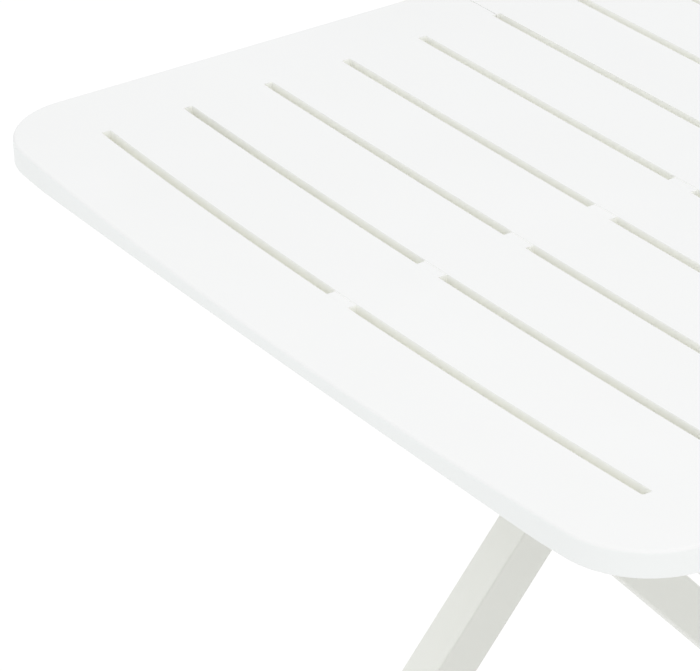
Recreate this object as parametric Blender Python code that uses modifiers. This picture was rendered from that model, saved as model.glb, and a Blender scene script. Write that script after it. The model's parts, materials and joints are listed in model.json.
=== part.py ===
"""Folding picnic table: a slatted top in two halves on two crossing leg frames.

Metres, +Z up, X along the slots, Y across the seam, origin on the floor under the middle.
"""
import math

import bmesh
import bpy
from mathutils import Matrix, Vector

# ---- driving dimensions ----
TOP_LENGTH = 0.72
TOP_WIDTH = 0.807
EDGE_CURVE = 0.127
TOP_HEIGHT = 0.70
TOP_DEPTH = 0.018
CORNER_RADIUS = 0.061
RIM_ROUND = 0.0025
RIM_ARCH = 0.009
ARCH_HALF = 0.29
ARCH_REACH = 0.045
SKIN = 0.004
WALL = 0.003

SLOT_PITCH = 0.0658
SLOT_WIDTH = 0.0071
SLOT_ROWS = 5
SLOT_END_MARGIN = 0.0625
SLOT_ROUND = 0.0012
SLOT_BOW = 0.0077
BRIDGE_WIDTH = 0.023
SLOT_STEPS = 6
POCKETS_ALONG = 6
EDGE_STEPS = 12
CORNER_SKIP = 10
SEAM_GAP = 0.0005

HINGE_SPAN = 0.285
HINGE_HEIGHT = 0.660
CROSS_HEIGHT = 0.335
LEG_WIDTH = 0.037
LEG_THICK = 0.033
EYE_RADIUS = 0.0165
INNER_LEG_X = 0.210
OUTER_LEG_X = 0.249
LEG_ROUND = 0.002
LEG_POCKETS = 9
LEG_WEB = 0.0035
SHOULDER_DROP = 0.03
SMALL_ROUND = 0.001

FOOT_HEIGHT = 0.010
FOOT_OVERHANG = 0.0015
SEAT_GAP = 0.0003

PIN_RADIUS = 0.004
RUN_CLEARANCE = 0.0001
PIN_HEAD_RADIUS = 0.0075
PIN_HEAD_DEPTH = 0.0022

CHEEK_THICK = 0.0036
CHEEK_RADIUS = 0.0135
CHEEK_SIDE_GAP = 0.0005
CHEEK_FLARE = 0.012
PLATE_THICK = 0.003
PLATE_IN = 0.0135
PLATE_OUT = 0.035

SEAM_HEIGHT = 0.670
KNUCKLE_RADIUS = 0.0068
SEAM_PIN_RADIUS = 0.003
SEAM_HEAD_RADIUS = 0.0048
SEAM_HINGE_X = 0.3285
LEAF_LENGTH = 0.054
LEAF_REACH = 0.046
KNUCKLE_LENGTH = 0.022

LOW_BAR_DROP = 0.325
LOW_BAR_OFFSET = 0.0085
BAR_THICK = 0.013
BAR_DEPTH = 0.020
HIGH_BAR_DROP = 0.062
HIGH_BAR_OFFSET = -0.004

CAP_RADIUS = 0.013
CAP_DEPTH = 0.004
ROUND_STEPS = 32

UNDERSIDE = TOP_HEIGHT - TOP_DEPTH
PLATE_TOP = UNDERSIDE - SEAT_GAP
PLATE_LOW = PLATE_TOP - PLATE_THICK
UP_LENGTH = math.hypot(HINGE_SPAN, HINGE_HEIGHT - CROSS_HEIGHT)
LEG_DIR = Vector((0.0, HINGE_SPAN / UP_LENGTH, -(HINGE_HEIGHT - CROSS_HEIGHT) / UP_LENGTH))
LEG_SIDE = Vector((0.0, -LEG_DIR.z, LEG_DIR.y))
CROSS = Vector((0.0, 0.0, CROSS_HEIGHT))
SLOT_HALF = TOP_LENGTH / 2 - SLOT_END_MARGIN


# ---- scene and materials ----
for old in list(bpy.data.objects):
    bpy.data.objects.remove(old, do_unlink=True)

parts = bpy.data.collections.new("folding_picnic_table")
cutters = bpy.data.collections.new("cutters")
bpy.context.scene.collection.children.link(parts)
bpy.context.scene.collection.children.link(cutters)


def make_material(name, colour, rough, metal=0.0):
    mat = bpy.data.materials.new(name)
    mat.use_nodes = True
    shader = mat.node_tree.nodes["Principled BSDF"]
    shader.inputs["Base Color"].default_value = (*colour, 1.0)
    shader.inputs["Roughness"].default_value = rough
    shader.inputs["Metallic"].default_value = metal
    return mat


COLOURS = {
    "top_white": ((0.90, 0.91, 0.89), 0.45, 0.0),
    "leg_white": ((0.86, 0.87, 0.83), 0.50, 0.0),
    "foot_white": ((0.78, 0.79, 0.76), 0.60, 0.0),
    "fitting_white": ((0.82, 0.83, 0.80), 0.50, 0.0),
    "pin_steel": ((0.62, 0.62, 0.63), 0.35, 1.0),
}


# ---- shape helpers ----
def add_mesh(name, mesh, home=parts):
    obj = bpy.data.objects.new(name, mesh)
    home.objects.link(obj)
    return obj


def solid_from(bm, name, mesh, home):
    """Close a bmesh into a named part with its faces out."""
    bmesh.ops.recalc_face_normals(bm, faces=bm.faces)
    if bm.calc_volume(signed=True) < 0:
        bmesh.ops.reverse_faces(bm, faces=bm.faces)
    bm.to_mesh(mesh)
    bm.free()
    return add_mesh(name, mesh, home)


def to_mesh(curve_obj, name, frame, home):
    """Turn a curve object into a clean mesh object set in the table's frame."""
    graph = bpy.context.evaluated_depsgraph_get()
    mesh = bpy.data.meshes.new_from_object(curve_obj.evaluated_get(graph))
    bpy.data.objects.remove(curve_obj, do_unlink=True)
    bm = bmesh.new()
    bm.from_mesh(mesh)
    bmesh.ops.remove_doubles(bm, verts=bm.verts, dist=0.00001)
    bmesh.ops.dissolve_limit(bm, angle_limit=0.001, verts=bm.verts, edges=bm.edges)
    bm.transform(frame)
    mesh.name = name
    return solid_from(bm, name, mesh, home)


def flat_solid(name, outlines, frame, depth, home=parts):
    """Extrude flat outlines (the first is the edge, the rest are holes) by depth about frame."""
    curve = bpy.data.curves.new(name, "CURVE")
    curve.dimensions = "2D"
    curve.fill_mode = "BOTH"
    curve.extrude = depth / 2
    for points in outlines:
        spline = curve.splines.new("POLY")
        spline.points.add(len(points) - 1)
        for knot, (u, v) in zip(spline.points, points):
            knot.co = (u, v, 0.0, 1.0)
        spline.use_cyclic_u = True
    holder = bpy.data.objects.new(name, curve)
    home.objects.link(holder)
    bpy.context.view_layer.update()
    return to_mesh(holder, name, frame, home)


def side_frame(x_mid):
    """Outline (u, v) becomes (Y, Z), extruded along X about x_mid."""
    turn = Matrix(((0.0, 0.0, 1.0), (1.0, 0.0, 0.0), (0.0, 1.0, 0.0))).to_4x4()
    return Matrix.Translation((x_mid, 0.0, 0.0)) @ turn


def level_frame(z_mid):
    """Outline (u, v) becomes (X, Y), extruded along Z about z_mid."""
    return Matrix.Translation((0.0, 0.0, z_mid))


def edge_frame(y_mid):
    """Outline (u, v) becomes (X, Z), extruded along Y about y_mid."""
    turn = Matrix(((1.0, 0.0, 0.0), (0.0, 0.0, -1.0), (0.0, 1.0, 0.0))).to_4x4()
    return Matrix.Translation((0.0, y_mid, 0.0)) @ turn


def side_solid(name, outlines, x_low, x_high, home=parts):
    return flat_solid(name, outlines, side_frame((x_low + x_high) / 2), x_high - x_low, home)


def box(name, low, high, home=parts, frame=None):
    bm = bmesh.new()
    bmesh.ops.create_cube(bm, size=1.0)
    size = [b - a for a, b in zip(low, high)]
    middle = [(a + b) / 2 for a, b in zip(low, high)]
    bmesh.ops.scale(bm, vec=size, verts=bm.verts)
    bmesh.ops.translate(bm, vec=middle, verts=bm.verts)
    if frame is not None:
        bm.transform(frame)
    return solid_from(bm, name, bpy.data.meshes.new(name), home)


def turned(name, profile, centre, home=parts):
    """Solid of revolution about X through centre, profile is (radius, x) from end to end."""
    bm = bmesh.new()
    verts = [bm.verts.new((radius, 0.0, -x)) for radius, x in profile]
    for a, b in zip(verts, verts[1:]):
        bm.edges.new((a, b))
    bmesh.ops.spin(bm, geom=list(bm.verts) + list(bm.edges), cent=(0, 0, 0), axis=(0, 0, 1),
                   angle=2 * math.pi, steps=ROUND_STEPS, use_merge=True)
    bmesh.ops.remove_doubles(bm, verts=bm.verts, dist=0.00001)
    turn = Matrix.Translation(centre) @ Matrix.Rotation(-math.pi / 2, 4, "Y")
    bm.transform(turn)
    return solid_from(bm, name, bpy.data.meshes.new(name), home)


def apply_modifiers(obj):
    bpy.context.view_layer.update()
    graph = bpy.context.evaluated_depsgraph_get()
    mesh = bpy.data.meshes.new_from_object(obj.evaluated_get(graph))
    obj.modifiers.clear()
    obj.data = mesh


def combine(obj, tools, operation="DIFFERENCE"):
    """Boolean each tool into obj, then drop the tools."""
    for tool in tools:
        step = obj.modifiers.new(operation.lower(), "BOOLEAN")
        step.operation = operation
        step.solver = "EXACT"
        step.object = tool
        tool.hide_render = True
        tool.display_type = "WIRE"
        apply_modifiers(obj)
        bpy.data.objects.remove(tool, do_unlink=True)


def join_cutters(name, tools):
    """Put separate cutter solids, none touching another, in one cutter."""
    bm = bmesh.new()
    for tool in tools:
        bm.from_mesh(tool.data)
        bpy.data.objects.remove(tool, do_unlink=True)
    mesh = bpy.data.meshes.new(name)
    bm.to_mesh(mesh)
    bm.free()
    return add_mesh(name, mesh, cutters)


def round_edges(obj, width, steps=2):
    bevel = obj.modifiers.new("round", "BEVEL")
    bevel.width = width
    bevel.segments = steps
    bevel.limit_method = "ANGLE"
    bevel.angle_limit = math.radians(40)
    apply_modifiers(obj)


def finish(obj, colour, origin, smooth=False):
    """Put the origin on the body's joint and give the part its own material."""
    obj.data.transform(Matrix.Translation(-Vector(origin)) @ obj.matrix_world)
    obj.matrix_world = Matrix.Translation(origin)
    obj.data.materials.clear()
    obj.data.materials.append(make_material("mat_" + obj.name, *COLOURS[colour]))
    if smooth:
        for face in obj.data.polygons:
            face.use_smooth = True
    return obj


def arc(cu, cv, radius, start, stop, steps):
    """Points on an arc, angles in degrees, both ends included."""
    out = []
    for i in range(steps + 1):
        angle = math.radians(start + (stop - start) * i / steps)
        out.append((cu + radius * math.cos(angle), cv + radius * math.sin(angle)))
    return out


def circle(cu, cv, radius, steps=ROUND_STEPS):
    return arc(cu, cv, radius, 0, 360, steps)[:-1]


def mirror_y(obj, name):
    """Copy a part to the other side of the seam."""
    mesh = obj.data.copy()
    mesh.transform(Matrix.Scale(-1, 4, (0, 1, 0)))
    mesh.flip_normals()
    return add_mesh(name, mesh)


# ---- the two halves of the top ----
def slot_line(row, x):
    """Distance of a slot row from the seam; outer rows bow outwards."""
    bow = SLOT_BOW * (row / SLOT_ROWS) ** 2
    return SLOT_PITCH * row + bow * (1 - (x / SLOT_HALF) ** 2)


def slot_outline(row, x_low, x_high, half_width):
    """Slot with small rounded corners following its row's line, on the -Y side."""
    inset = min(SLOT_ROUND, half_width)
    stations = []
    for i in range(4):
        angle = math.pi / 2 * i / 3
        stations.append((inset * (1 - math.cos(angle)), half_width - inset * (1 - math.sin(angle))))
    stations = [(0.0, half_width - inset)] + stations[1:]
    xs = [(x_low + d, h) for d, h in stations]
    for i in range(1, SLOT_STEPS):
        xs.append((x_low + inset + (x_high - x_low - 2 * inset) * i / SLOT_STEPS, half_width))
    xs += [(x_high - d, h) for d, h in reversed(stations)]
    lower = [(x, -slot_line(row, x) - h) for x, h in xs]
    upper = [(x, -slot_line(row, x) + h) for x, h in reversed(xs)]
    return lower + upper


def long_edge(x):
    """The long edge bows outwards like the slot rows next to it, on the -Y side."""
    return -TOP_WIDTH / 2 + EDGE_CURVE * x * x


CORNER_X = TOP_LENGTH / 2 - CORNER_RADIUS
CORNER_TURN = math.atan(2 * EDGE_CURVE * CORNER_X)
CORNER_MEET = CORNER_X + CORNER_RADIUS * math.sin(CORNER_TURN)
CORNER_Y = long_edge(CORNER_MEET) + CORNER_RADIUS * math.cos(CORNER_TURN)


def corner(side, inset, skip, steps):
    """Round outer corner in order of rising x, leaving out skip degrees next to the end edge."""
    sweep = 90 - math.degrees(CORNER_TURN)
    if side < 0:
        return arc(-CORNER_X, CORNER_Y, CORNER_RADIUS - inset, 180 + skip, 180 + sweep, steps)
    return arc(CORNER_X, CORNER_Y, CORNER_RADIUS - inset, 360 - sweep, 360 - skip, steps)


def half_outline():
    """Outer corners rounded; the seam edge steps back between its end and middle pads."""
    edge_x = TOP_LENGTH / 2
    points = corner(-1, 0.0, 0, 12)
    for i in range(1, EDGE_STEPS):
        x = CORNER_MEET * (2 * i / EDGE_STEPS - 1)
        points.append((x, long_edge(x)))
    points += corner(1, 0.0, 0, 12)
    pad = -SEAM_GAP / 2
    back = -SLOT_WIDTH / 2
    points.append((edge_x, pad))
    for x_from, x_to in ((SLOT_HALF, BRIDGE_WIDTH / 2), (-BRIDGE_WIDTH / 2, -SLOT_HALF)):
        points += [(x_from, pad), (x_from, back), (x_to, back), (x_to, pad)]
    points.append((-edge_x, pad))
    return points


def make_top():
    """One ribbed half: a skin with a rim, slots right through, pockets from below, long rim arched."""
    slab = flat_solid("near_top", [half_outline()], level_frame(TOP_HEIGHT - TOP_DEPTH / 2), TOP_DEPTH)
    mesh = slab.data
    weights = mesh.attributes.new("bevel_weight_edge", "FLOAT", "EDGE")
    for edge in mesh.edges:
        ends = [mesh.vertices[i].co for i in edge.vertices]
        on_top = all(abs(co.z - TOP_HEIGHT) < 0.0001 for co in ends)
        on_rim = all(co.y < -SLOT_WIDTH or abs(co.x) > TOP_LENGTH / 2 - 0.0001 for co in ends)
        weights.data[edge.index].value = 1.0 if on_top and on_rim else 0.0
    bevel = slab.modifiers.new("rim", "BEVEL")
    bevel.limit_method = "WEIGHT"
    bevel.width = RIM_ROUND
    bevel.segments = 2
    apply_modifiers(slab)

    slots = []
    for row in range(1, SLOT_ROWS + 1):
        for x_low in (-SLOT_HALF, BRIDGE_WIDTH / 2):
            x_high = x_low + SLOT_HALF - BRIDGE_WIDTH / 2
            outline = slot_outline(row, x_low, x_high, SLOT_WIDTH / 2)
            slots.append(flat_solid("slot", [outline], level_frame(TOP_HEIGHT - TOP_DEPTH / 2),
                                    TOP_DEPTH * 2, cutters))
    combine(slab, [join_cutters("slots", slots)])

    pockets = []
    length = (TOP_LENGTH - 2 * WALL - WALL * (POCKETS_ALONG - 1)) / POCKETS_ALONG
    clear = SLOT_WIDTH / 2 + WALL
    for strip in range(SLOT_ROWS + 1):
        for i in range(POCKETS_ALONG):
            x_low = -TOP_LENGTH / 2 + WALL + i * (length + WALL)
            x_high = x_low + length
            xs = [x_low + length * j / 3 for j in range(4)]
            inner = [(x, -slot_line(strip, x) - clear if strip else -clear) for x in xs]
            if strip < SLOT_ROWS:
                outer = [(x, -slot_line(strip + 1, x) + clear) for x in xs]
            else:
                outer = [(x, long_edge(x) + WALL) for x in xs if abs(x) < CORNER_MEET]
                if i == 0:
                    outer = corner(-1, WALL, CORNER_SKIP, 6) + outer
                elif i == POCKETS_ALONG - 1:
                    outer += corner(1, WALL, CORNER_SKIP, 6)
            outline = inner + outer[::-1]
            pockets.append(flat_solid("pocket", [outline], level_frame(UNDERSIDE),
                                      (TOP_DEPTH - SKIN) * 2, cutters))
    combine(slab, [join_cutters("pockets", pockets)])

    wide = ARCH_HALF * 1.02
    arch = []
    for i in range(EDGE_STEPS + 1):
        x = wide * (2 * i / EDGE_STEPS - 1)
        arch.append((x, UNDERSIDE + RIM_ARCH * (1 - (x / ARCH_HALF) ** 2)))
    arch += [(wide, UNDERSIDE - TOP_DEPTH), (-wide, UNDERSIDE - TOP_DEPTH)]
    combine(slab, [flat_solid("arch", [arch], edge_frame(-TOP_WIDTH / 2), ARCH_REACH * 2, cutters)])
    return slab


# ---- legs ----
def along(distance, offset=0.0):
    """Point in the outer frame's leg line: distance below the cross pivot, offset to the outside."""
    point = CROSS + LEG_DIR * distance + LEG_SIDE * offset
    return (point.y, point.z)


def leg_outline():
    """Leg of the outer frame seen from +X: eye at the top hinge, cut level above the foot."""
    half = LEG_WIDTH / 2
    steps = 14
    tilt = math.degrees(math.atan2(LEG_DIR.z, LEG_DIR.y))
    top = along(-UP_LENGTH)
    eye = arc(top[0], top[1], EYE_RADIUS, tilt + 90, tilt + 270, steps)
    shoulder = UP_LENGTH - SHOULDER_DROP
    right = [along(-shoulder, half)]
    left = [along(-shoulder, -half)]
    foot_z = FOOT_HEIGHT + SEAT_GAP
    cut_right = (CROSS_HEIGHT + LEG_SIDE.z * half - foot_z) / -LEG_DIR.z
    cut_left = (CROSS_HEIGHT - LEG_SIDE.z * half - foot_z) / -LEG_DIR.z
    return left + [along(cut_left, -half), along(cut_right, half)] + right + eye


def leg_frame(x_face, sign):
    """Leg axes: u down the leg from the cross pivot, v to the outside, w along X into the leg."""
    columns = (LEG_DIR, LEG_SIDE, Vector((sign, 0.0, 0.0)))
    turn = Matrix.Identity(3)
    for i, axis in enumerate(columns):
        turn.col[i] = axis
    return Matrix.Translation((x_face, 0.0, CROSS_HEIGHT)) @ turn.to_4x4()


def make_leg(name, side, x_low):
    """Straight bar with an eye; moulding pockets open on the face away from the table's middle."""
    x_mid = side * (x_low + LEG_THICK / 2)
    leg = side_solid(name, [leg_outline()], x_mid - LEG_THICK / 2, x_mid + LEG_THICK / 2)
    round_edges(leg, LEG_ROUND)
    top = along(-UP_LENGTH)
    reach = LEG_THICK * 2
    eye = circle(*top, PIN_RADIUS + RUN_CLEARANCE)
    hole = side_solid("hole", [eye], x_mid - reach, x_mid + reach, cutters)
    start = -UP_LENGTH + EYE_RADIUS + LEG_WEB * 2
    stop = (CROSS_HEIGHT - FOOT_HEIGHT) / -LEG_DIR.z - LEG_WIDTH
    length = (stop - start) / LEG_POCKETS
    frame = leg_frame(side * (x_low + LEG_THICK), -side)
    half = LEG_WIDTH / 2 - LEG_WEB
    pockets = []
    for i in range(LEG_POCKETS):
        low = start + i * length + LEG_WEB / 2
        high = low + length - LEG_WEB
        if low < CAP_RADIUS + LEG_WEB and high > -CAP_RADIUS - LEG_WEB:
            continue
        deep = LEG_THICK - LEG_WEB * 2
        pockets.append(box("pocket", (low, -half, -LEG_WEB), (high, half, deep), cutters, frame))
    combine(leg, [hole, join_cutters("pockets", pockets)])
    return leg


def foot_outline():
    """Shoe under the cut end of the leg, following its slope."""
    half = LEG_WIDTH / 2 / -LEG_DIR.z + FOOT_OVERHANG
    slope = LEG_DIR.y / -LEG_DIR.z
    foot_y = slope * CROSS_HEIGHT
    upper_y = foot_y - slope * FOOT_HEIGHT
    sole = [(foot_y - half, 0.0), (foot_y + half, 0.0)]
    return sole + [(upper_y + half, FOOT_HEIGHT), (upper_y - half, FOOT_HEIGHT)]


def bar_between(name, x_half, distance, offset):
    """Flat cross bar from leg to leg."""
    frame = leg_frame(0.0, 1)
    low = (distance - BAR_DEPTH / 2, offset - BAR_THICK / 2, -x_half)
    high = (distance + BAR_DEPTH / 2, offset + BAR_THICK / 2, x_half)
    bar = box(name, low, high, parts, frame)
    round_edges(bar, LEG_ROUND)
    return bar


def make_frame(label, x_low, origin):
    """Both legs, shoes, cross bars and pivot caps of one frame, all on the outer frame's slope."""
    made = []
    for side, word in ((-1, "left"), (1, "right")):
        made.append((make_leg(label + "_leg_" + word, side, x_low), "leg_white", False))
        x_mid = side * (x_low + LEG_THICK / 2)
        half = LEG_THICK / 2 + FOOT_OVERHANG
        foot = side_solid(label + "_foot_" + word, [foot_outline()], x_mid - half, x_mid + half)
        round_edges(foot, SMALL_ROUND, 1)
        made.append((foot, "foot_white", False))
        inward = label == "inner"
        face = side * (x_low - SEAT_GAP - CAP_DEPTH if inward else x_low + LEG_THICK + SEAT_GAP)
        low, high = sorted((face, face + side * CAP_DEPTH))
        cap = side_solid(label + "_pivot_cap_" + word, [circle(*along(0.0), CAP_RADIUS)], low, high)
        round_edges(cap, SMALL_ROUND, 1)
        made.append((cap, "fitting_white", False))
    reach = x_low - SEAT_GAP
    made.append((bar_between(label + "_low_bar", reach, LOW_BAR_DROP, LOW_BAR_OFFSET), "leg_white", False))
    made.append((bar_between(label + "_high_bar", reach, HIGH_BAR_DROP - UP_LENGTH, HIGH_BAR_OFFSET),
                 "leg_white", False))
    for obj, colour, smooth in made:
        if label == "inner":
            obj.data.transform(Matrix.Scale(-1, 4, (0, 1, 0)))
            obj.data.flip_normals()
        finish(obj, colour, origin, smooth)


# ---- hinge fittings under the near half ----
def make_bracket(name, side, x_low):
    """Plate under the top with two cheeks holding the leg's eye."""
    top_y, top_z = along(-UP_LENGTH)
    inner = x_low - CHEEK_SIDE_GAP
    outer = x_low + LEG_THICK + CHEEK_SIDE_GAP
    spans = ((inner - CHEEK_THICK, inner), (outer, outer + CHEEK_THICK))
    low, high = sorted((side * spans[0][0], side * spans[1][1]))
    plate = box(name, (low, top_y - PLATE_OUT, PLATE_LOW), (high, top_y + PLATE_IN, PLATE_TOP))
    cheeks = []
    lift = PLATE_LOW + PLATE_THICK / 2
    for a, b in spans:
        x_a, x_b = sorted((side * a, side * b))
        tab = arc(top_y, top_z, CHEEK_RADIUS, 180, 360, 16)
        tab += [(top_y + CHEEK_RADIUS, lift), (top_y - CHEEK_RADIUS - CHEEK_FLARE, lift)]
        hole = circle(top_y, top_z, PIN_RADIUS + RUN_CLEARANCE)
        cheeks.append(side_solid("cheek", [tab, hole], x_a, x_b, cutters))
    combine(plate, cheeks, "UNION")
    pin_low = low - PIN_HEAD_DEPTH - SEAT_GAP
    pin_high = high + PIN_HEAD_DEPTH + SEAT_GAP
    crown = PIN_HEAD_DEPTH * 0.4
    crown_radius = PIN_HEAD_RADIUS * 0.8
    profile = [(0.0, pin_low), (crown_radius, pin_low), (PIN_HEAD_RADIUS, pin_low + crown),
               (PIN_HEAD_RADIUS, low - SEAT_GAP), (PIN_RADIUS, low - SEAT_GAP),
               (PIN_RADIUS, high + SEAT_GAP), (PIN_HEAD_RADIUS, high + SEAT_GAP),
               (PIN_HEAD_RADIUS, pin_high - crown), (crown_radius, pin_high), (0.0, pin_high)]
    pin = turned(name.replace("bracket", "pin"), profile, (0.0, top_y, top_z))
    return plate, pin


def leaf_solid(name, x_mid, knuckles, flip):
    """Hinge leaf under one half: plate, and a web down to each of its knuckles on the seam axis."""
    near = -SEAM_GAP
    plate = box(name, (x_mid - LEAF_LENGTH / 2, -LEAF_REACH, PLATE_LOW),
                (x_mid + LEAF_LENGTH / 2, near, PLATE_TOP))
    tools = []
    for low, high in knuckles:
        lift = PLATE_LOW + PLATE_THICK / 2
        body = arc(0.0, SEAM_HEIGHT, KNUCKLE_RADIUS, 180, 450, 28)
        body += [(near, SEAM_HEIGHT + KNUCKLE_RADIUS), (near, lift), (-KNUCKLE_RADIUS, lift)]
        hole = circle(0.0, SEAM_HEIGHT, SEAM_PIN_RADIUS + RUN_CLEARANCE)
        tools.append(side_solid("knuckle", [body, hole], x_mid + low, x_mid + high, cutters))
    combine(plate, tools, "UNION")
    if flip:
        plate.data.transform(Matrix.Scale(-1, 4, (0, 1, 0)))
        plate.data.flip_normals()
    return plate


NEAR_HINGE = (0.0, -HINGE_SPAN, HINGE_HEIGHT)
FAR_HINGE = (0.0, HINGE_SPAN, HINGE_HEIGHT)
SEAM = (0.0, 0.0, SEAM_HEIGHT)

near_top = make_top()
far_top = mirror_y(near_top, "far_top")
finish(near_top, "top_white", NEAR_HINGE)
finish(far_top, "top_white", SEAM)

make_frame("outer", OUTER_LEG_X, tuple(CROSS))
make_frame("inner", INNER_LEG_X, FAR_HINGE)

for side, word in ((-1, "left"), (1, "right")):
    for half, x_low in (("near", OUTER_LEG_X), ("far", INNER_LEG_X)):
        bracket, pin = make_bracket(half + "_bracket_" + word, side, x_low)
        for obj, colour, smooth in ((bracket, "fitting_white", False), (pin, "pin_steel", True)):
            if half == "far":
                obj.data.transform(Matrix.Scale(-1, 4, (0, 1, 0)))
                obj.data.flip_normals()
            finish(obj, colour, NEAR_HINGE if half == "near" else SEAM, smooth)

middle = KNUCKLE_LENGTH / 2
outer_end = LEAF_LENGTH / 2
near_knuckles = ((-middle + SEAT_GAP / 2, middle - SEAT_GAP / 2),)
far_knuckles = ((-outer_end, -middle - SEAT_GAP / 2), (middle + SEAT_GAP / 2, outer_end))
for side, word in ((-1, "left"), (1, "right")):
    x_mid = side * SEAM_HINGE_X
    leaf = leaf_solid("near_seam_leaf_" + word, x_mid, near_knuckles, False)
    finish(leaf, "fitting_white", NEAR_HINGE)
    leaf = leaf_solid("far_seam_leaf_" + word, x_mid, far_knuckles, True)
    finish(leaf, "fitting_white", SEAM)
    low = x_mid - outer_end - SEAT_GAP
    high = x_mid + outer_end + SEAT_GAP
    end_low = low - PIN_HEAD_DEPTH
    end_high = high + PIN_HEAD_DEPTH
    head = SEAM_HEAD_RADIUS
    profile = [(0.0, end_low), (head, end_low), (head, low), (SEAM_PIN_RADIUS, low),
               (SEAM_PIN_RADIUS, high), (head, high), (head, end_high), (0.0, end_high)]
    finish(turned("seam_pin_" + word, profile, (0.0, 0.0, SEAM_HEIGHT)), "pin_steel", NEAR_HINGE, True)

bpy.data.collections.remove(cutters)
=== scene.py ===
"""Looks of the folding picnic table: moulded white halves, ribbed legs, fittings, studio and camera.

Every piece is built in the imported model's frame: metres, X along the slots, Y across the seam, Z up.
"""
import json
import math

import bmesh
import bpy
from mathutils import Matrix, Vector


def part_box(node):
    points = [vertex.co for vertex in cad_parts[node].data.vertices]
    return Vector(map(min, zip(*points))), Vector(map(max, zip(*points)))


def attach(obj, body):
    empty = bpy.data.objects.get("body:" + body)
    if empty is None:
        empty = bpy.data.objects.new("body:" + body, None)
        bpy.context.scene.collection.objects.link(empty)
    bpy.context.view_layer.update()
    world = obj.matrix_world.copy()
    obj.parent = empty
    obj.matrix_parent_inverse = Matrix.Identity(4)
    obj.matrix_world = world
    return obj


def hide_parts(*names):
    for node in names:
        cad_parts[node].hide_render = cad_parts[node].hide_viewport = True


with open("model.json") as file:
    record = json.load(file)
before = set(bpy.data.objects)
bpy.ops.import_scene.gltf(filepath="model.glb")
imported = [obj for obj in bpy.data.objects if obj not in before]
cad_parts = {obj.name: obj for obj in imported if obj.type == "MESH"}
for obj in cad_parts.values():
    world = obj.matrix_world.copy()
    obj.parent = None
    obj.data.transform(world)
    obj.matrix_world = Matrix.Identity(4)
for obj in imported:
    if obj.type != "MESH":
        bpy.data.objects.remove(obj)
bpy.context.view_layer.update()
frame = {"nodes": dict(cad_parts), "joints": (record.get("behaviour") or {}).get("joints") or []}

# ---- the top, read from the frame where it has the size ----
TOP_LOW, TOP_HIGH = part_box("near_top")
HALF_LENGTH = TOP_HIGH.x
HALF_WIDTH = -TOP_LOW.y
TOP_Z = TOP_HIGH.z
UNDER_Z = TOP_LOW.z
SEAM_EDGE = -TOP_HIGH.y
CORNER_RADIUS = 0.061
CORNER_STEPS = 20
EDGE_CURVE = 0.127
EDGE_POINTS = 24
RIM_ROUND = 0.0026
RIM_ROUND_STEPS = 10
LOW_ROUND = 0.0012
LOW_ROUND_STEPS = 3
SKIN = 0.004
WALL = 0.003

# the arch that thins the rim along the middle of the long side
RIM_ARCH = 0.009
ARCH_HALF = 0.29
ARCH_REACH = 0.045
ARCH_OVERRUN = 1.02

SLOT_PITCH = 0.0658
SLOT_HALF_WIDTH = 0.0034
SLOT_ROWS = 5
SLOT_END = HALF_LENGTH - 0.0625
SLOT_STEPS = 24
SLOT_CORNER = 0.0012
SLOT_CORNER_STEPS = 5
SLOT_BOW = 0.0077
SLOT_LIP = 0.0007
SLOT_LIP_STEPS = 4
BRIDGE_HALF = 0.0115
BRIDGE_STEPS = 6
BRIDGE_DROP = 0.0009
BRIDGE_LIP = BRIDGE_DROP * 0.8
BRIDGE_LIP_STEPS = 3

# the pockets under the top, with a fillet where their walls meet the skin
POCKETS_ALONG = 6
POCKET_STEPS = 6
POCKET_CORNER_STEPS = 10
POCKET_MOUTH_HEIGHT = 0.002
CORNER_SKIP = 10
FILLET_HEIGHT = 0.001
FILLET_START = 0.0006
FILLET_END = 0.0020

# ---- the legs ----
HINGE = {j["name"]: Vector(j["pos_m"]) for j in frame["joints"]}
NEAR_HINGE = HINGE["near_top_hinge"]
CROSS = Vector((0.0, 0.0, 0.335))
UP_LENGTH = (NEAR_HINGE - CROSS).length
LEG_DIR = (CROSS - NEAR_HINGE).normalized()
LEG_SIDE = Vector((0.0, -LEG_DIR.z, LEG_DIR.y))
FOOT_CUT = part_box("outer_leg_left")[0].z
LEG_HALF = 0.0185
LEG_ROUND = 0.0022
LEG_ROUND_STEPS = 5
EYE_RADIUS = 0.0165
EYE_STEPS = 28
SHOULDER_DROP = 0.03
PIN_HOLE = 0.0041
HOLE_STEPS = 40
HOLE_OVERRUN = 0.01
CAP_RADIUS = 0.013
LEG_POCKETS = 9
LEG_WEB = 0.0035
BOX_CORNER_STEPS = 5
# (shift, inset, corner radius) of a pocket's levels, from its floor and from its mouth
FLOOR_LEVELS = ((0.0, 0.0022, 0.0008), (0.0015, 0.0008, 0.0018))
MOUTH_LEVELS = ((-0.002, 0.0, 0.0022), (-0.0006, -0.0003, 0.0024),
                (0.0, -0.0009, 0.0028), (0.004, -0.0009, 0.0028))

SHARP_ANGLE = 32
FACE_WEIGHT = 100

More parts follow.
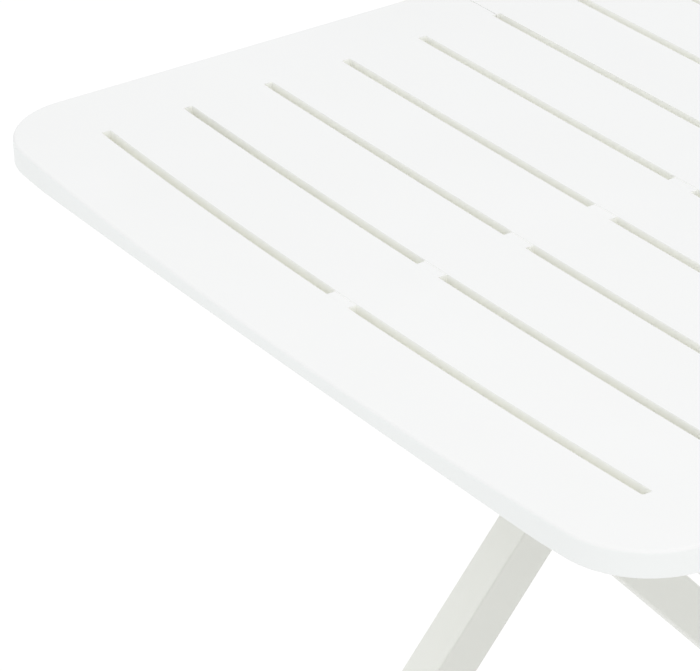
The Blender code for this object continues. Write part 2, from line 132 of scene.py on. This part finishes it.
# ---- looks: marks and grains are noise (scale, detail, distortion), fades are (where 0, where 1) ----
PLASTIC_IOR = 1.49
NOISE_RANGE = (0.3, 0.7)
FLOW_MARKS = (7.0, 3.0, 0.6)
SHEEN_MARKS = (24.0, 4.0)
SHEEN_SPREAD = (-0.04, 0.05)
FINE_GRAIN = (1500.0, 2.0)
FINE_HEIGHT = 0.00008
BROAD_GRAIN = (90.0, 3.0)
BROAD_HEIGHT = 0.0003
BROAD_STRENGTH = 0.12
# the next three fades pick faces by their normals for painted shade; the upright one also bounds the
# painted wall light
UPRIGHT_FADE = (0.6, 0.3)
SQUARE_SHADE_FADE = (0.5, 0.9)
DOWN_SHADE_FADE = (-0.3, -0.6)
# the next three fades pick the slot walls inside the rim for painted light, brighter towards the top
INSIDE_X_FADE = (0.345, 0.335)
INSIDE_Y_FADE = (0.365, 0.355)
WALL_LIGHT_DEPTH_FADE = (TOP_Z - 0.0065, TOP_Z - 0.0015)
BRUSH_STRETCH = (2600.0, 120.0, 120.0)
BRUSH_DETAIL = 3.0
STEEL_DULL = (0.48, 0.48, 0.49, 1.0)
STEEL_BRIGHT = (0.70, 0.70, 0.71, 1.0)
STEEL_ROUGH = (0.25, 0.45)

# ---- studio ----
SKY_STRENGTH = (0.756, 1.083)
SKY_FADE = (0.0, 0.75)
SKY_COLOUR = (0.985, 1.0, 1.0, 1.0)
FLOOR_HALF = 8.0
FLOOR_CELLS = 8
FLOOR_Z = -0.0006
FLOOR_COLOUR = (0.08, 0.08, 0.08, 1.0)
FLOOR_ROUGH = 0.9
FLOOR_GLOW = 0.935
KEY_PLACE = (2.0, -1.0, 2.6)
KEY_AIM = (0.2, -0.2, 0.6)
KEY_SIZE = 2.4
KEY_POWER = 9.0
KEY_COLOUR = (1.0, 0.97, 0.94)

CAMERA_PLACE = (1.722, -1.471, 1.789)
CAMERA_YAW = 146.49
CAMERA_PITCH = 28.41
CAMERA_ROLL = -1.42
CAMERA_LENS = 192.9
SENSOR_WIDTH = 36.0
CLIP_START = 0.05
CLIP_END = 60.0


# ---- materials ----
def plastic(name, colour, rough, grain, tint_amount=0.02, shaded_sides=None, axis="X", lit_walls=None):
    """Injection-moulded plastic: faint flow marks, a fine grain and a slightly uneven sheen.

    Faces square to axis and those that look down (or, for Z, all upright faces) take the side colour,
    painted shade; on a top half the upright walls inside the rim take the two wall colours, deep and
    shallow, painted light that stands in for light soaking through the ribs, brighter near the top.
    """
    mat = bpy.data.materials.new(name)
    mat.use_nodes = True
    nodes = mat.node_tree.nodes
    links = mat.node_tree.links
    shader = nodes["Principled BSDF"]
    shader.inputs["IOR"].default_value = PLASTIC_IOR
    place = nodes.new("ShaderNodeTexCoord")

    def noise(scale, detail, distortion=0.0):
        tex = nodes.new("ShaderNodeTexNoise")
        tex.inputs["Scale"].default_value = scale
        tex.inputs["Detail"].default_value = detail
        tex.inputs["Distortion"].default_value = distortion
        links.new(place.outputs["Object"], tex.inputs["Vector"])
        return tex.outputs["Fac"]

    def spread(source, low, high):
        step = nodes.new("ShaderNodeMapRange")
        step.inputs["From Min"].default_value = NOISE_RANGE[0]
        step.inputs["From Max"].default_value = NOISE_RANGE[1]
        step.inputs["To Min"].default_value = low
        step.inputs["To Max"].default_value = high
        links.new(source, step.inputs["Value"])
        return step.outputs["Result"]

    def within(output, part, limits, signed=False):
        """Fades from 0 to 1 between limits of a vector's part, by its size unless signed."""
        split = nodes.new("ShaderNodeSeparateXYZ")
        links.new(place.outputs[output], split.inputs["Vector"])
        value = split.outputs[part]
        if not signed:
            size = nodes.new("ShaderNodeMath")
            size.operation = "ABSOLUTE"
            links.new(value, size.inputs[0])
            value = size.outputs["Value"]
        step = nodes.new("ShaderNodeMapRange")
        step.inputs["From Min"].default_value = limits[0]
        step.inputs["From Max"].default_value = limits[1]
        links.new(value, step.inputs["Value"])
        return step.outputs["Result"]

    def product(a, b):
        times = nodes.new("ShaderNodeMath")
        times.operation = "MULTIPLY"
        links.new(a, times.inputs[0])
        links.new(b, times.inputs[1])
        return times.outputs["Value"]

    def blend(first, second, factor, mode="MIX"):
        mix = nodes.new("ShaderNodeMix")
        mix.data_type = "RGBA"
        mix.blend_type = mode
        for socket, value in (("A", first), ("B", second)):
            if isinstance(value, tuple):
                mix.inputs[socket].default_value = (*value, 1.0)
            else:
                links.new(value, mix.inputs[socket])
        links.new(factor, mix.inputs["Factor"])
        return mix.outputs["Result"]

    picked = colour
    # painted shade: faces picked by their normals take the side colour
    if shaded_sides:
        upright = within("Normal", axis, UPRIGHT_FADE if axis == "Z" else SQUARE_SHADE_FADE)
        picked = blend(picked, shaded_sides, upright)
    # on legs the faces that look down take it too, painted shade underneath
    if shaded_sides and axis == "X":
        picked = blend(picked, shaded_sides, within("Normal", "Z", DOWN_SHADE_FADE, signed=True))
    # painted light: the slot walls inside the rim take brighter colours, brightest near the top, standing
    # in for light through the ribs
    if lit_walls:
        inside = product(within("Object", "X", INSIDE_X_FADE), within("Object", "Y", INSIDE_Y_FADE))
        depth = blend(lit_walls[0], lit_walls[1], within("Object", "Z", WALL_LIGHT_DEPTH_FADE))
        picked = blend(picked, depth, product(upright, inside))
    tint = (1 - tint_amount,) * 3
    picked = blend(picked, tint, spread(noise(*FLOW_MARKS), 0.0, 1.0), "MULTIPLY")
    links.new(picked, shader.inputs["Base Color"])

    sheen = spread(noise(*SHEEN_MARKS), rough + SHEEN_SPREAD[0], rough + SHEEN_SPREAD[1])
    links.new(sheen, shader.inputs["Roughness"])

    fine_bump = nodes.new("ShaderNodeBump")
    fine_bump.inputs["Strength"].default_value = grain
    fine_bump.inputs["Distance"].default_value = FINE_HEIGHT
    links.new(noise(*FINE_GRAIN), fine_bump.inputs["Height"])
    broad_bump = nodes.new("ShaderNodeBump")
    broad_bump.inputs["Strength"].default_value = BROAD_STRENGTH
    broad_bump.inputs["Distance"].default_value = BROAD_HEIGHT
    links.new(noise(*BROAD_GRAIN), broad_bump.inputs["Height"])
    links.new(fine_bump.outputs["Normal"], broad_bump.inputs["Normal"])
    links.new(broad_bump.outputs["Normal"], shader.inputs["Normal"])
    return mat


def steel(name):
    """Plated pin: brushed round its axis, with a few duller patches."""
    mat = bpy.data.materials.new(name)
    mat.use_nodes = True
    nodes = mat.node_tree.nodes
    links = mat.node_tree.links
    shader = nodes["Principled BSDF"]
    shader.inputs["Metallic"].default_value = 1.0
    place = nodes.new("ShaderNodeTexCoord")
    stretch = nodes.new("ShaderNodeMapping")
    stretch.inputs["Scale"].default_value = BRUSH_STRETCH
    links.new(place.outputs["Object"], stretch.inputs["Vector"])
    tex = nodes.new("ShaderNodeTexNoise")
    tex.inputs["Scale"].default_value = 1.0
    tex.inputs["Detail"].default_value = BRUSH_DETAIL
    links.new(stretch.outputs["Vector"], tex.inputs["Vector"])
    ramp = nodes.new("ShaderNodeValToRGB")
    ramp.color_ramp.elements[0].color = STEEL_DULL
    ramp.color_ramp.elements[1].color = STEEL_BRIGHT
    links.new(tex.outputs["Fac"], ramp.inputs["Fac"])
    links.new(ramp.outputs["Color"], shader.inputs["Base Color"])
    rough = nodes.new("ShaderNodeMapRange")
    rough.inputs["To Min"].default_value = STEEL_ROUGH[0]
    rough.inputs["To Max"].default_value = STEEL_ROUGH[1]
    links.new(tex.outputs["Fac"], rough.inputs["Value"])
    links.new(rough.outputs["Result"], shader.inputs["Roughness"])
    return mat


# the top's upright faces take a slightly cooler side colour, painted shade, and its slot walls brighter
# colours, painted light
TOP_WHITE = plastic("top_plastic", (0.864, 0.858, 0.858), 0.42, 0.25, 0.012,
                    shaded_sides=(0.852, 0.864, 0.859), axis="Z",
                    lit_walls=((0.89, 0.89, 0.83), (0.985, 0.985, 0.96)))
# the legs' faces square to X and those looking down take a darker side colour, painted shade
LEG_WHITE = plastic("leg_plastic", (0.855, 0.859, 0.815), 0.46, 0.25, shaded_sides=(0.739, 0.744, 0.702))
FOOT_WHITE = plastic("foot_plastic", (0.70, 0.71, 0.68), 0.60, 0.45, 0.04)
FITTING_WHITE = plastic("fitting_plastic", (0.80, 0.81, 0.775), 0.45, 0.25)
PIN_STEEL = steel("pin_steel")


# ---- mesh helpers ----
def close_up(bm):
    """Turn all faces outwards."""
    bmesh.ops.recalc_face_normals(bm, faces=bm.faces)
    if bm.calc_volume(signed=True) < 0:
        bmesh.ops.reverse_faces(bm, faces=bm.faces)


def link(name, mesh):
    obj = bpy.data.objects.new(name, mesh)
    bpy.context.scene.collection.objects.link(obj)
    return obj


def to_object(bm, name):
    close_up(bm)
    mesh = bpy.data.meshes.new(name)
    bm.to_mesh(mesh)
    bm.free()
    return link(name, mesh)


def loft(bm, rings):
    """Closed solid through stacked rings of equally many points."""
    loops = [[bm.verts.new(p) for p in ring] for ring in rings]
    count = len(loops[0])
    for low, high in zip(loops, loops[1:]):
        for i in range(count):
            j = (i + 1) % count
            bm.faces.new((low[i], low[j], high[j], high[i]))
    bm.faces.new(loops[0][::-1])
    bm.faces.new(loops[-1])


def loft_object(name, rings):
    bm = bmesh.new()
    loft(bm, rings)
    return to_object(bm, name)


def quarter(radius, steps, outward=False):
    """(depth from the end, inset) down a rounded edge; outward gives the lip of a cutter."""
    out = []
    for i in range(steps + 1):
        angle = math.pi / 2 * i / steps
        inset = radius * (1 - math.sin(angle))
        out.append((radius * (1 - math.cos(angle)), -inset if outward else inset))
    return out


def arc(cu, cv, radius, start, stop, steps):
    out = []
    for i in range(steps + 1):
        angle = math.radians(start + (stop - start) * i / steps)
        out.append((cu + radius * math.cos(angle), cv + radius * math.sin(angle)))
    return out


def apply_modifiers(obj):
    graph = bpy.context.evaluated_depsgraph_get()
    mesh = bpy.data.meshes.new_from_object(obj.evaluated_get(graph))
    obj.modifiers.clear()
    obj.data = mesh


def cut(obj, tool):
    step = obj.modifiers.new("cut", "BOOLEAN")
    step.operation = "DIFFERENCE"
    step.solver = "EXACT"
    step.object = tool
    bpy.context.view_layer.update()
    apply_modifiers(obj)
    bpy.data.objects.remove(tool, do_unlink=True)


def smooth(obj):
    """Smooth shading that stays flat on the big faces."""
    for face in obj.data.polygons:
        face.use_smooth = True
    obj.data.set_sharp_from_angle(angle=math.radians(SHARP_ANGLE))
    weigh = obj.modifiers.new("weigh", "WEIGHTED_NORMAL")
    weigh.keep_sharp = True
    weigh.weight = FACE_WEIGHT
    bpy.context.view_layer.update()
    apply_modifiers(obj)


def paint(obj, mat):
    obj.data.materials.clear()
    obj.data.materials.append(mat)


def mirror_mesh(mesh, axis):
    mesh.transform(Matrix.Scale(-1, 4, axis))
    mesh.flip_normals()


def mirrored(obj, name, axis):
    mesh = obj.data.copy()
    mirror_mesh(mesh, axis)
    return link(name, mesh)


# ---- the slatted halves ----
def slot_line(row, x):
    """How far a row of slots lies from the seam; the outer rows bow outwards."""
    bow = SLOT_BOW * (row / SLOT_ROWS) ** 2
    return SLOT_PITCH * row + bow * (1 - (x / SLOT_END) ** 2)


def slot_ring(row, x_low, x_high, grow, z):
    """Slot outline grown by grow, with rounded corners, at height z."""
    half = SLOT_HALF_WIDTH + grow
    radius = SLOT_CORNER + grow
    low = x_low - grow
    high = x_high + grow
    turns = [math.pi / 2 * i / SLOT_CORNER_STEPS for i in range(SLOT_CORNER_STEPS + 1)]
    ends = [(radius * (1 - math.cos(a)), half - radius * (1 - math.sin(a))) for a in turns]
    xs = [(low + d, h) for d, h in ends]
    for i in range(1, SLOT_STEPS):
        xs.append((low + radius + (high - low - 2 * radius) * i / SLOT_STEPS, half))
    xs += [(high - d, h) for d, h in reversed(ends)]
    near = [(x, -slot_line(row, x) - h, z) for x, h in xs]
    far = [(x, -slot_line(row, x) + h, z) for x, h in reversed(xs)]
    return near + far


def long_edge(x):
    """The long edge bows outwards like the slot rows next to it, on the -Y side."""
    return -HALF_WIDTH + EDGE_CURVE * x * x


CORNER_X = HALF_LENGTH - CORNER_RADIUS
CORNER_TURN = math.atan(2 * EDGE_CURVE * CORNER_X)
CORNER_MEET = CORNER_X + CORNER_RADIUS * math.sin(CORNER_TURN)
CORNER_Y = long_edge(CORNER_MEET) + CORNER_RADIUS * math.cos(CORNER_TURN)


def corner(side, inset, skip, steps):
    """Round outer corner in order of rising x, leaving out skip degrees next to the end edge."""
    sweep = 90 - math.degrees(CORNER_TURN)
    if side < 0:
        return arc(-CORNER_X, CORNER_Y, CORNER_RADIUS - inset, 180 + skip, 180 + sweep, steps)
    return arc(CORNER_X, CORNER_Y, CORNER_RADIUS - inset, 360 - sweep, 360 - skip, steps)


def rim_ring(inset, z):
    """Outline of the near half, pulled in by inset, at height z, with the seam's half slots."""
    ex = HALF_LENGTH - inset
    seam = -SEAM_EDGE
    back = -SLOT_HALF_WIDTH
    points = corner(-1, inset, 0, CORNER_STEPS)
    for i in range(1, EDGE_POINTS):
        x = CORNER_MEET * (2 * i / EDGE_POINTS - 1)
        points.append((x, long_edge(x) + inset))
    points += corner(1, inset, 0, CORNER_STEPS)
    points.append((ex, seam))
    for x_from, x_to in ((SLOT_END, BRIDGE_HALF), (-BRIDGE_HALF, -SLOT_END)):
        points += [(x_from, seam), (x_from, back), (x_to, back), (x_to, seam)]
    points.append((-ex, seam))
    return [(x, y, z) for x, y in points]


def pocket_outline(strip, x_low, x_high, first, last):
    """One pocket between two slot rows, or between the outer row and the rim."""
    clear = SLOT_HALF_WIDTH + WALL
    xs = [x_low + (x_high - x_low) * i / POCKET_STEPS for i in range(POCKET_STEPS + 1)]
    inner = [(x, -slot_line(strip, x) - clear if strip else -clear) for x in xs]
    if strip < SLOT_ROWS:
        outer = [(x, -slot_line(strip + 1, x) + clear) for x in xs]
    else:
        outer = [(x, long_edge(x) + WALL) for x in xs if abs(x) < CORNER_MEET]
        if first:
            outer = corner(-1, WALL, CORNER_SKIP, POCKET_CORNER_STEPS) + outer
        if last:
            outer += corner(1, WALL, CORNER_SKIP, POCKET_CORNER_STEPS)
    return inner + outer[::-1]


def inset_outline(points, amount):
    """Pull a convex outline in towards its middle by about amount."""
    mid_u = (min(p[0] for p in points) + max(p[0] for p in points)) / 2
    mid_v = (min(p[1] for p in points) + max(p[1] for p in points)) / 2
    half_u = max(p[0] for p in points) - mid_u
    half_v = max(p[1] for p in points) - mid_v
    return [(mid_u + (u - mid_u) * (1 - amount / half_u), mid_v + (v - mid_v) * (1 - amount / half_v))
            for u, v in points]


def slot_cutters():
    bm = bmesh.new()
    for row in range(1, SLOT_ROWS + 1):
        for x_low, x_high in ((-SLOT_END, -BRIDGE_HALF), (BRIDGE_HALF, SLOT_END)):
            levels = [(UNDER_Z - WALL, 0.0)]
            levels += [(TOP_Z - d, -i) for d, i in reversed(quarter(SLOT_LIP, SLOT_LIP_STEPS, True))]
            levels += [(TOP_Z + WALL, SLOT_LIP)]
            loft(bm, [slot_ring(row, x_low, x_high, grow, z) for z, grow in levels])
    return to_object(bm, "slots")


def pocket_cutters():
    bm = bmesh.new()
    length = (2 * HALF_LENGTH - 2 * WALL - WALL * (POCKETS_ALONG - 1)) / POCKETS_ALONG
    levels = [(UNDER_Z - WALL, 0.0), (UNDER_Z + POCKET_MOUTH_HEIGHT, 0.0),
              (TOP_Z - SKIN - FILLET_HEIGHT, FILLET_START), (TOP_Z - SKIN, FILLET_END)]
    for strip in range(SLOT_ROWS + 1):
        for i in range(POCKETS_ALONG):
            x_low = -HALF_LENGTH + WALL + i * (length + WALL)
            outline = pocket_outline(strip, x_low, x_low + length, i == 0, i == POCKETS_ALONG - 1)
            loft(bm, [[(x, y, z) for x, y in inset_outline(outline, pull)] for z, pull in levels])
    return to_object(bm, "pockets")


def bridge_cutters():
    """The bridges in the middle of the slot rows lie a little below the top face."""
    bm = bmesh.new()
    reach = BRIDGE_HALF + SLOT_CORNER
    xs = [-reach + 2 * reach * i / BRIDGE_STEPS for i in range(BRIDGE_STEPS + 1)]
    levels = [(TOP_Z - BRIDGE_DROP, 0.0)]
    levels += [(TOP_Z - d, -i) for d, i in reversed(quarter(BRIDGE_LIP, BRIDGE_LIP_STEPS, True))]
    levels += [(TOP_Z + WALL, BRIDGE_DROP)]
    for row in range(1, SLOT_ROWS + 1):
        rings = []
        for z, grow in levels:
            half = SLOT_HALF_WIDTH + grow
            near = [(x, -slot_line(row, x) - half, z) for x in xs]
            far = [(x, -slot_line(row, x) + half, z) for x in reversed(xs)]
            rings.append(near + far)
        loft(bm, rings)
    return to_object(bm, "bridges")


def arch_cutter():
    wide = ARCH_HALF * ARCH_OVERRUN
    outline = []
    for i in range(EDGE_POINTS + 1):
        x = wide * (2 * i / EDGE_POINTS - 1)
        outline.append((x, UNDER_Z + RIM_ARCH * (1 - (x / ARCH_HALF) ** 2)))
    outline += [(wide, UNDER_Z - WALL), (-wide, UNDER_Z - WALL)]
    ends = (-HALF_WIDTH - ARCH_REACH, -HALF_WIDTH + ARCH_REACH)
    return loft_object("arch", [[(x, y, z) for x, z in outline] for y in ends])


def make_top():
    rings = [rim_ring(i, UNDER_Z + d) for d, i in quarter(LOW_ROUND, LOW_ROUND_STEPS)]
    rings += [rim_ring(i, TOP_Z - d) for d, i in reversed(quarter(RIM_ROUND, RIM_ROUND_STEPS))]
    top = loft_object("near_top_skin", rings)
    for make_cutter in (slot_cutters, pocket_cutters, bridge_cutters, arch_cutter):
        cut(top, make_cutter())
    return top


# ---- legs ----
def along(distance, offset=0.0):
    """(y, z) at a distance down a leg of the outer frame from the pivot, offset across it."""
    point = CROSS + LEG_DIR * distance + LEG_SIDE * offset
    return (point.y, point.z)


def leg_ring(inset, x):
    """Leg outline pulled in by inset: an eye round the hinge above, cut level at the foot."""
    half = LEG_HALF - inset
    tilt = math.degrees(math.atan2(LEG_DIR.z, LEG_DIR.y))
    top = along(-UP_LENGTH)
    eye = arc(top[0], top[1], EYE_RADIUS - inset, tilt + 90, tilt + 270, EYE_STEPS)
    shoulder = UP_LENGTH - SHOULDER_DROP
    cut_z = FOOT_CUT + inset
    drop = -LEG_DIR.z
    right = (CROSS.z + LEG_SIDE.z * half - cut_z) / drop
    left = (CROSS.z - LEG_SIDE.z * half - cut_z) / drop
    outline = [along(-shoulder, -half), along(left, -half), along(right, half), along(-shoulder, half)]
    return [(x, y, z) for y, z in outline + eye]


def pocket_ring(u_low, u_high, half, radius, x):
    """Rounded rectangle between two distances along the leg."""
    points = arc(u_low + radius, -half + radius, radius, 180, 270, BOX_CORNER_STEPS)
    points += arc(u_high - radius, -half + radius, radius, 270, 360, BOX_CORNER_STEPS)
    points += arc(u_high - radius, half - radius, radius, 0, 90, BOX_CORNER_STEPS)
    points += arc(u_low + radius, half - radius, radius, 90, 180, BOX_CORNER_STEPS)
    return [(x, *along(u, v)) for u, v in points]


def leg_pocket_cutters(x_low, x_high):
    """Pockets down the leg, open on its outer face and left out under the pivot cap."""
    bm = bmesh.new()
    start = -UP_LENGTH + EYE_RADIUS + LEG_WEB * 2
    stop = (CROSS.z - FOOT_CUT) / -LEG_DIR.z - 2 * LEG_HALF
    length = (stop - start) / LEG_POCKETS
    half = LEG_HALF - LEG_WEB
    floor = x_low + LEG_WEB * 2
    levels = [(floor + shift, pull, radius) for shift, pull, radius in FLOOR_LEVELS]
    levels += [(x_high + shift, pull, radius) for shift, pull, radius in MOUTH_LEVELS]
    for i in range(LEG_POCKETS):
        a = start + i * length + LEG_WEB / 2
        b = a + length - LEG_WEB
        if a < CAP_RADIUS + LEG_WEB and b > -CAP_RADIUS - LEG_WEB:
            continue
        loft(bm, [pocket_ring(a + pull, b - pull, half - pull, radius, x) for x, pull, radius in levels])
    return to_object(bm, "pockets")


def make_leg(name, node):
    """Right leg on the outer frame's slope, its pockets open away from the table's middle."""
    low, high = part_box(node)
    rings = [leg_ring(i, low.x + d) for d, i in quarter(LEG_ROUND, LEG_ROUND_STEPS)]
    rings += [leg_ring(i, high.x - d) for d, i in reversed(quarter(LEG_ROUND, LEG_ROUND_STEPS))]
    leg = loft_object(name, rings)
    cut(leg, leg_pocket_cutters(low.x, high.x))
    top = along(-UP_LENGTH)
    circle = arc(top[0], top[1], PIN_HOLE, 0, 360, HOLE_STEPS)[:-1]
    ends = (low.x - HOLE_OVERRUN, high.x + HOLE_OVERRUN)
    cut(leg, loft_object("hole", [[(x, y, z) for y, z in circle] for x in ends]))
    return leg


# ---- build and place ----
near_skin = make_top()
far_skin = mirrored(near_skin, "far_top_skin", (0, 1, 0))
for skin, node, body in ((near_skin, "near_top", "near_half"), (far_skin, "far_top", "far_half")):
    smooth(skin)
    paint(skin, TOP_WHITE)
    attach(skin, body)
    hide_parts(node)

for label, body in (("outer", "outer_frame"), ("inner", "inner_frame")):
    right = make_leg(label + "_leg_right_moulding", label + "_leg_right")
    if label == "inner":
        mirror_mesh(right.data, (0, 1, 0))
    left = mirrored(right, label + "_leg_left_moulding", (1, 0, 0))
    for leg, node in ((right, label + "_leg_right"), (left, label + "_leg_left")):
        smooth(leg)
        paint(leg, LEG_WHITE)
        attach(leg, body)
        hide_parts(node)

# the small parts keep their CAD shapes and take a look
for name, node in frame["nodes"].items():
    if node.hide_render:
        continue
    if "_pin_" in name:
        mat = PIN_STEEL
    elif "_foot_" in name:
        mat = FOOT_WHITE
    elif "_bar" in name:
        mat = LEG_WHITE
    else:
        mat = FITTING_WHITE
    for entry in node.material_slots:
        entry.material = mat


# ---- studio ----
def sky():
    """Even white light, a little weaker towards the horizon."""
    world = bpy.data.worlds.new("studio")
    bpy.context.scene.world = world
    world.use_nodes = True
    nodes = world.node_tree.nodes
    links = world.node_tree.links
    back = nodes["Background"]
    place = nodes.new("ShaderNodeTexCoord")
    split = nodes.new("ShaderNodeSeparateXYZ")
    links.new(place.outputs["Generated"], split.inputs["Vector"])
    fade = nodes.new("ShaderNodeMapRange")
    fade.inputs["From Min"].default_value = SKY_FADE[0]
    fade.inputs["From Max"].default_value = SKY_FADE[1]
    fade.inputs["To Min"].default_value = SKY_STRENGTH[0]
    fade.inputs["To Max"].default_value = SKY_STRENGTH[1]
    links.new(split.outputs["Z"], fade.inputs["Value"])
    links.new(fade.outputs["Result"], back.inputs["Strength"])
    back.inputs["Color"].default_value = SKY_COLOUR


def pale_floor():
    bm = bmesh.new()
    bmesh.ops.create_grid(bm, x_segments=FLOOR_CELLS, y_segments=FLOOR_CELLS, size=FLOOR_HALF)
    mesh = bpy.data.meshes.new("floor")
    bm.to_mesh(mesh)
    bm.free()
    floor = link("floor", mesh)
    floor.location.z = FLOOR_Z
    mat = bpy.data.materials.new("floor_pale")
    mat.use_nodes = True
    shader = mat.node_tree.nodes["Principled BSDF"]
    shader.inputs["Base Color"].default_value = FLOOR_COLOUR
    shader.inputs["Roughness"].default_value = FLOOR_ROUGH
    shader.inputs["Emission Color"].default_value = (1.0, 1.0, 1.0, 1.0)
    shader.inputs["Emission Strength"].default_value = FLOOR_GLOW
    paint(floor, mat)


def soft_key():
    lamp = bpy.data.lights.new("soft_key", "AREA")
    lamp.shape = "DISK"
    lamp.size = KEY_SIZE
    lamp.energy = KEY_POWER
    lamp.color = KEY_COLOUR
    key = link("soft_key", lamp)
    key.location = KEY_PLACE
    key.rotation_mode = "QUATERNION"
    key.rotation_quaternion = (Vector(KEY_AIM) - key.location).to_track_quat("-Z", "Y")


def camera():
    """Long lens from the near right, level to about a degree."""
    yaw = math.radians(CAMERA_YAW)
    pitch = math.radians(CAMERA_PITCH)
    roll = math.radians(CAMERA_ROLL)
    forward = Vector((math.cos(yaw) * math.cos(pitch), math.sin(yaw) * math.cos(pitch), -math.sin(pitch)))
    side = Vector((math.sin(yaw), -math.cos(yaw), 0.0))
    upright = side.cross(forward)
    right = side * math.cos(roll) + upright * math.sin(roll)
    up = upright * math.cos(roll) - side * math.sin(roll)
    data = bpy.data.cameras.new("camera")
    data.sensor_width = SENSOR_WIDTH
    data.lens = CAMERA_LENS
    data.clip_start = CLIP_START
    data.clip_end = CLIP_END
    obj = link("camera", data)
    turn = Matrix((right, up, -forward)).transposed()
    obj.matrix_world = Matrix.Translation(CAMERA_PLACE) @ turn.to_4x4()
    bpy.context.scene.camera = obj


sky()
pale_floor()
soft_key()
settings = bpy.context.scene.view_settings
settings.view_transform = "Standard"
settings.look = "None"
camera()

bpy.context.view_layer.update()
